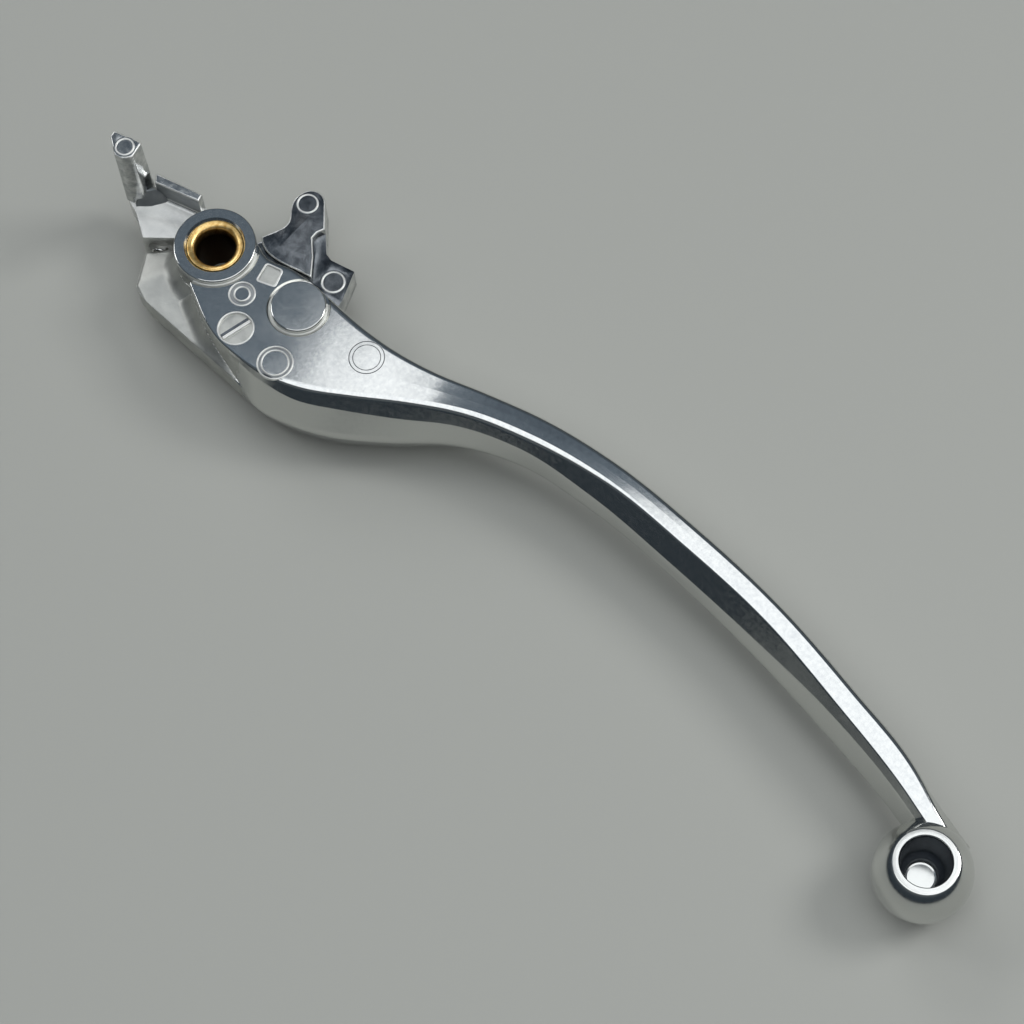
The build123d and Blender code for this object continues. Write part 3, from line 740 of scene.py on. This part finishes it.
fork_slot = [(6.6, -6.3), (21.4, 1.7 - 7.6), (29, 0), (29, 25), (0, 25), (0, -6.6)]
combine(lever, block(fork_slot, slot_bottom, slot_top), "DIFFERENCE")
for radius, centre in ((6.9, (0, 0)), (7.6, plan_dial), (6.3, (6.6, 0))):
    combine(lever, round_disc(radius, slot_bottom, slot_top, centre), "DIFFERENCE")
behind_heel = [on_spring(u, v) for u, v in ((heel_end, 16), (heel_end, -16), (-20, -16), (-20, 16))]
combine(lever, block(behind_heel, slot_bottom, slot_top), "DIFFERENCE")
combine(lever, round_disc(5.03, back_z - 1, 1), "DIFFERENCE")
sink = [(0, -0.8), (5.15, -0.8), (5.5, -0.62), (5.68, -0.4), (5.84, -0.2), (6.1, 0.15), (0, 0.15)]
combine(lever, turned(sink), "DIFFERENCE")
combine(lever, round_disc(3.05, slot_top - 1, slot_top + 2.9, plan_dial), "DIFFERENCE")
combine(lever, round_disc(6.45, slot_bottom - 3, slot_bottom + 1, plan_dial), "DIFFERENCE")
combine(lever, round_disc(10.1, back_z - 1, -14.3, plan_dial), "DIFFERENCE")

# Sunk dot beside the dial, against which its numbers are read
index_place = (plan_dial[0] + 12.0, plan_dial[1])
combine(lever, round_disc(0.8, back_z - 1, back_z + 0.4, index_place, 48), "DIFFERENCE")

# Blind hole of the ball: a tapered cup over a narrower well
cup = [(0, -10.4), (2.45, -10.4), (2.75, -10.3), (2.9, -10.05), (3.02, -8.6), (3.15, -8.3),
       (3.6, -7.9), (3.95, -7.4), (4.12, -6.7), (4.6, -0.7), (4.68, -0.35), (4.78, -0.15),
       (4.92, 0), (5.1, 0.3), (0, 0.3)]
combine(lever, turned(cup, (reach, 0), 128), "DIFFERENCE")

# Spring's hole in the end of the heel
seat = on_spring(heel_end + seat_depth, spring_side)
lay_down()
bpy.ops.mesh.primitive_cylinder_add(vertices=48, radius=1.75 * MM, depth=14 * MM)
hole = bpy.context.object
direction = Vector((cos(spring_turn), -sin(spring_turn), 0))
hole.matrix_world = (Matrix.Translation(Vector((*seat, spring_z)) * MM - direction * 7 * MM)
                     @ direction.to_track_quat("Z", "Y").to_matrix().to_4x4())
combine(lever, settle(hole), "DIFFERENCE")

# Finishes of the lever: ground faces, bright flanks, dull cast pocket floors and heel, painted
# shade in the marks and the ball's cup, and a painted highlight on the ball's rim
for made in (polished, ground, cast, highlight_cast, dark_shade_cast, shaded):
    lever.data.materials.append(made)
GROUND, CAST, PAINTED_HIGHLIGHT, DARK_SHADE, SHADED = range(1, 6)  # places in that list, after polished
for face in lever.data.polygons:
    middle, normal = face.center / MM, face.normal
    if normal.z > 0.9 and middle.z > -3.6 and middle.x < 175:
        face.material_index = GROUND
    if normal.z > 0.9 and face_z - 0.5 < middle.z < face_z - 0.1 and middle.x < 42 and \
            between(max(middle.x, 2))[1] + 0.6 < middle.y < between(max(middle.x, 2))[0] - 1.2:
        face.material_index = CAST
    if middle.x < 19.5 and middle.y < 0 and -16.4 < middle.z < -5.0 and middle.to_2d().length > 7.9:
        face.material_index = CAST
    if middle.x < 21 and middle.y < -6 and -5.0 <= middle.z < -1.5 and middle.to_2d().length > 8.6:
        face.material_index = CAST
    # Painted shade in the marks: dark on their walls, mid-grey on their groove floors
    for radius, centre in ((2.6, hub_mark), (3.6, root_mark), (3.5, date_place), (3.5, heel_mark)):
        if (middle.to_2d() - Vector(centre)).length < radius and -1.5 < middle.z < face_z - 0.02:
            if normal.z < 0.9:
                face.material_index = DARK_SHADE
            elif middle.z > face_z - 0.2:
                face.material_index = SHADED
    # Painted highlight on the ball's rim ring, painted shade inside its cup
    out = (middle.to_2d() - Vector((reach, 0))).length
    if middle.z > -0.2 and 5.34 < out < 5.85:
        face.material_index = PAINTED_HIGHLIGHT
    if out < 5 and -9.5 < middle.z < -0.4:
        face.material_index = DARK_SHADE

# Raised details in the pale finish, a painted highlight: rims of the marks, the frame's lip and the
# bar across the date mark, with a dark strip beside the bar as its painted shadow
for radius, centre in ((2.52, hub_mark), (1.5, hub_mark), (3.45, date_place), (3.42, heel_mark),
                       (2.62, heel_mark)):
    attach(lever, turned(bead(radius, face_z), centre), highlight_cast)
lip = block([(9.75, 4.4), (13.5, 5.55), (15.05, 1.7), (11.05, 0.1)], face_z - 0.4, face_z + 0.1)
choose(lip, "EDGE", lambda a, b: abs(a.z - b.z) > 0.1)
bpy.ops.mesh.bevel(offset=0.7 * MM, segments=5)
lay_down()
combine(lip, frame_pocket(face_z - 1, face_z + 1), "DIFFERENCE")
attach(lever, soften(lip, 0.1, 2, 60), highlight_cast)
# The bar is pale as a painted highlight; the dark strip beside it is its painted shadow
bar_turn = radians(78.5)
for near, far, top, made in ((-0.6, 0.05, 0.02, highlight_cast), (0, 0.85, -0.38, dark_shade_cast)):
    bar = block([(i * cos(bar_turn) - j * sin(bar_turn) + date_place[0],
                  i * sin(bar_turn) + j * cos(bar_turn) + date_place[1])
                 for i, j in ((-3.15, near), (3.15, near), (3.15, far), (-3.15, far))],
                face_z - 0.7, face_z + top)
    attach(lever, soften(bar, 0.15, 3), made)
smooth(lever)
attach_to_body(lever, "lever")
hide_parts("lever_body")

# ---------------------------------------------------------------- knuckle
knuckle = soften(copy_of("knuckle", "knuckle_casting"), 0.35, 3)
knuckle.data.materials.clear()
for made in (skin, highlight_cast, dark_reflection_skin, shaded):
    knuckle.data.materials.append(made)
KNUCKLE_HIGHLIGHT, FACE_DARK_REFLECTION, RIB_SHADED = range(1, 4)  # places in that list, after skin
# Painted light on the knuckle: the plate and the sloped edge faces near the top take the pale
# painted highlight, the shoulder by the rib a painted mid-tone shade, and the upward flat faces
# past x = 2 mm the darker painted reflection
for face in knuckle.data.polygons:
    middle = face.center / MM
    if middle.x < -4 and -14.2 < middle.z < -7.2:
        face.material_index = KNUCKLE_HIGHLIGHT
    elif middle.x < -16 and -7.2 <= middle.z < -4.3 and middle.y < 3.4:
        face.material_index = RIB_SHADED
    elif middle.z > -7.1 and 0.25 < face.normal.z < 0.96:
        face.material_index = KNUCKLE_HIGHLIGHT
    elif middle.x > 2 and face.normal.z > 0.98:
        face.material_index = FACE_DARK_REFLECTION
# Caps on the knuckle; each cap's rounded rim takes the pale finish as a painted highlight
for radius, centre, height, made in ((1.75, (-23.4, 0.2), 10.0, skin),
                                     (2.0, (5.1, 19.9), -4.0, dark_reflection_skin),
                                     (2.2, (20.2, 11.7), -6.0, dark_reflection_skin)):
    cover = [(0, height - 0.4), (radius + 0.45, height - 0.4), (radius + 0.45, height + 0.02),
             (0, height + 0.02)]
    attach(knuckle, turned(cover, centre, 64), made)
    attach(knuckle, turned(bead(radius, height, 0.44, 0.14), centre, 64), highlight_cast)
smooth(knuckle)
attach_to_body(knuckle, "knuckle")
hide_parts("knuckle")

# ---------------------------------------------------------------- bush
bush_low, bush_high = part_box("pivot_bush")
low, high, outer = bush_low.z / MM, bush_high.z / MM, (bush_high.x - bush_low.x) / 2 / MM
mouth = [(4.0 + 1.3 * (1 - cos(radians(a))), 1.05 * (1 - sin(radians(a))) - 0.4)
         for a in range(0, 91, 15)]
profile = ([(4.0, low + 0.5), (4.5, low), (outer - 0.3, low), (outer, low + 0.3),
            (outer, high - 0.05), (5.15, high), (5.45, high + 0.26), (5.42, high + 0.36)]
           + [(radius, high - drop) for radius, drop in reversed(mouth)])
bush = turned(profile, around=128)
bush.name = bush.data.name = "bronze_bush"
bush.data.materials.append(bronze)
smooth(bush, 22)
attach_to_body(bush, "lever")
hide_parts("pivot_bush")

# ---------------------------------------------------------------- knuckle spring
coils = bpy.data.curves.new("spring_coils", "CURVE")
coils.dimensions = "3D"
coils.bevel_depth = 0.3 * MM
coils.bevel_resolution = 5
coils.use_fill_caps = True
path = coils.splines.new("POLY")
path.points.add(160)
for k, point in enumerate(path.points):
    along, swing = 0.3 + 5.95 * k / 160, 2 * pi * 5.95 / 1.5 * k / 160
    x, y = on_spring(heel_end + seat_depth - 0.3 - along, spring_side + coil_r * cos(swing))
    point.co = (x * MM, y * MM, (spring_z + coil_r * sin(swing)) * MM, 1)
spring = bpy.data.objects.new("spring_coils", coils)
bpy.context.scene.collection.objects.link(spring)
pick_up(spring)
bpy.ops.object.convert(target="MESH")
spring = settle(bpy.context.object)
spring.data.materials.clear()
spring.data.materials.append(wire)
smooth(spring, 40)
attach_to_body(spring, "lever")
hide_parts("knuckle_spring")

# ---------------------------------------------------------------- dial with numbers
dial = soften(copy_of("adjuster_dial", "reach_dial"), 0.2, 2)
dial.data.materials.clear()
dial.data.materials.append(anodised)
figures = []
for k in range(6):
    angle = -k * pi / 3
    lay_down()
    bpy.ops.object.text_add()
    figure = bpy.context.object
    figure.data.body = str(k + 1)
    figure.data.size = 3.4 * MM
    figure.data.extrude = 0.2 * MM
    figure.data.resolution_u = 4
    figure.data.align_x = figure.data.align_y = "CENTER"
    spot = Vector((plan_dial[0] + 5.9 * cos(angle), plan_dial[1] + 5.9 * sin(angle),
                   dial_low.z / MM)) * MM
    pick_up(figure)
    bpy.ops.object.convert(target="MESH")
    figure = bpy.context.object
    figure.matrix_world = (Matrix.Translation(spot) @ Matrix.Rotation(angle - pi / 2, 4, "Z")
                           @ Matrix.Rotation(pi, 4, "Y"))
    settle(figure)
    bpy.ops.object.mode_set(mode="EDIT")
    bpy.ops.mesh.select_all(action="SELECT")
    bpy.ops.mesh.remove_doubles(threshold=0.001 * MM)
    bpy.ops.mesh.normals_make_consistent(inside=False)
    lay_down()
    fill = figure.copy()
    fill.data = figure.data.copy()
    bpy.context.scene.collection.objects.link(fill)
    for vertex in fill.data.vertices:
        vertex.co.z = dial_low.z + (0.05 if vertex.co.z < dial_low.z else 0.25) * MM
    figures.append(fill)
    combine(dial, figure, "DIFFERENCE")
smooth(dial, 25)
for face in dial.data.polygons:
    face.use_smooth = abs(face.normal.z) < 0.98
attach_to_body(dial, "dial")
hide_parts("adjuster_dial")
pick_up(figures[0])
for fill in figures:
    fill.select_set(True)
bpy.ops.object.join()
numbers = figures[0]
numbers.name = numbers.data.name = "dial_numbers"
numbers.data.materials.append(enamel)
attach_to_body(numbers, "dial")
dot = round_disc(0.78, back_z + 0.1, back_z + 0.45, index_place, 48)
dot.name = dot.data.name = "index_dot"
dot.data.materials.append(enamel)
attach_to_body(dot, "lever")

# ---------------------------------------------------------------- finishes of the solids that stay
for node, made in (("thrust_washers", nylon), ("adjuster_cam", zinc), ("adjuster_clip", wire),
                   ("dial_washer", zinc), ("dial_screw", zinc)):
    nodes[node].data.materials.clear()
    nodes[node].data.materials.append(made)

# ---------------------------------------------------------------- bench, light and camera
rest = Vector((dial_high.x, dial_centre.y * MM, dial_low.z))
foot = Vector((reach * MM, 0, (-ball_drop - ball_r) * MM))
bench_slope = atan2(foot.z - rest.z, foot.x - rest.x)
lay_down()
bpy.ops.mesh.primitive_plane_add(size=6)
bench = bpy.context.object
bench.name = "bench"
bench.rotation_euler = (0, -bench_slope, 0)
bench.location = (rest.x, 0, rest.z - 0.05 * MM)
settle(bench)
bench.data.materials.append(bench_top())
bench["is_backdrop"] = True

world = bpy.data.worlds.new("room")
bpy.context.scene.world = world
world.use_nodes = True
sky = world.node_tree
place = add(sky, "ShaderNodeTexCoord")
height = add(sky, "ShaderNodeSeparateXYZ", {"Vector": place.outputs["Generated"]})
shade = add(sky, "ShaderNodeValToRGB", {"Fac": height.outputs["Z"]})
shade.color_ramp.elements[0].position = 0.0
shade.color_ramp.elements[0].color = colour("2b3239")
shade.color_ramp.elements[1].position = 0.8
shade.color_ramp.elements[1].color = colour("414b55")
shade.color_ramp.elements.new(0.28).color = colour("3a4249")
shade.color_ramp.elements.new(0.5).color = colour("62676a")
shade.color_ramp.elements.new(0.93).color = colour("7b8793")
sky.links.new(shade.outputs["Color"], sky.nodes["Background"].inputs["Color"])


def soft_lamp(name, place, aim, size, power):
    """Add a rectangular lamp that faces a point."""
    light = bpy.data.lights.new(name, "AREA")
    light.shape = "RECTANGLE"
    light.size, light.size_y = size
    light.energy = power
    lamp = bpy.data.objects.new(name, light)
    direction = Vector(aim) - Vector(place)
    lamp.matrix_world = (Matrix.Translation(place)
                         @ direction.to_track_quat("-Z", "Y").to_matrix().to_4x4())
    bpy.context.scene.collection.objects.link(lamp)
    return lamp


# Ceiling panel, turned a little, whose left and far edges show in the ground face
panel_turn = radians(17)
panel_corner = Vector((-0.397, 0.316, 1.0))
panel_size = (1.5, 1.15)
middle = (panel_corner + Matrix.Rotation(panel_turn, 3, "Z")
          @ Vector((panel_size[0] / 2, -panel_size[1] / 2, 0)))
panel = soft_lamp("ceiling_panel", middle, middle - Vector((0, 0, 1)), panel_size, 6.7)
panel.matrix_world = (Matrix.Translation(middle) @ Matrix.Rotation(panel_turn, 4, "Z"))
soft_lamp("window", (0.75, 1.05, 1.15), (0.08, 0, 0), (0.6, 0.5), 9.6)
soft_lamp("fill", (-1.2, 0.5, 0.9), (0.0, 0, 0), (0.8, 0.6), 4.2)
soft_lamp("rim", (-1.05, -0.35, 0.9), (0.0, 0, 0), (0.45, 0.45), 2.6)

camera = bpy.data.cameras.new("camera")
camera.sensor_width = 36
camera.lens = 102.66
camera.clip_start = 0.01
eye = bpy.data.objects.new("camera", camera)
right = Vector((0.72261, 0.69039, -0.03454))
up = Vector((-0.62720, 0.67584, 0.38713))
back = Vector((0.29061, -0.25808, 0.92138))
turn = Matrix((right, up, back)).transposed()
eye.matrix_world = Matrix.Translation((0.23891, -0.14145, 0.5)) @ turn.to_4x4()
bpy.context.scene.collection.objects.link(eye)
bpy.context.scene.camera = eye
bpy.context.scene.view_settings.view_transform = "Standard"

low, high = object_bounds()
